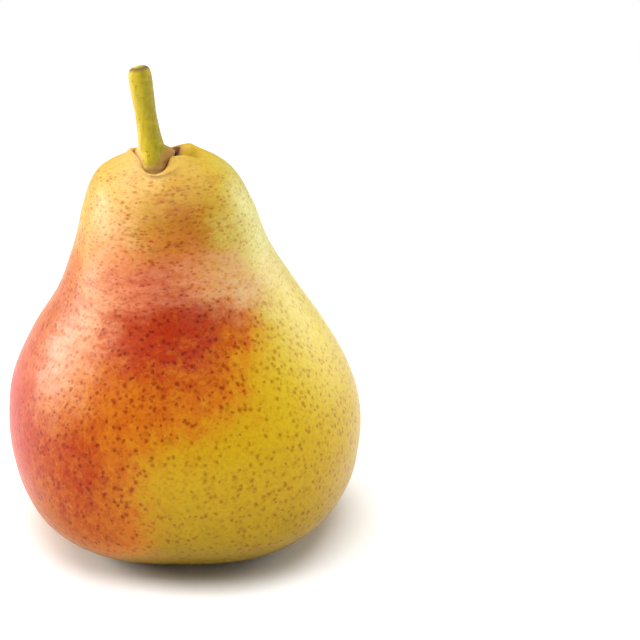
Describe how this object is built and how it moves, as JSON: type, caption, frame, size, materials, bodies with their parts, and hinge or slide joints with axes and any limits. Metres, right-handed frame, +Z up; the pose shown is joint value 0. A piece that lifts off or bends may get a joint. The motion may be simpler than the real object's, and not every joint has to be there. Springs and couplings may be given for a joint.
{
  "type": "pear",
  "caption": "Ripe pear standing on its base: red-blushed yellow-green body with a narrow crown, short woody stem and a dried flower in the basin underneath.",
  "frame": {"origin": "on the resting plane, under the middle of the bounding box", "axes": "+Z up along the pear from the base to the stem; the blushed front faces -Y; +X to the right seen from the front"},
  "size_m": [0.0746, 0.0766, 0.1006],
  "materials": {
    "skin": "satin",
    "stem": "satin",
    "dried_flower": "matte",
    "dried_stamens": "matte"
  },
  "bodies": {
    "root": {"fruit": "skin", "stem": "stem", "calyx_cup": "dried_flower", "stamen_tuft": "dried_stamens", "sepal_1": "dried_flower", "sepal_2": "dried_flower", "sepal_3": "dried_flower", "sepal_4": "dried_flower", "sepal_5": "dried_flower"}
  },
  "joints": []
}
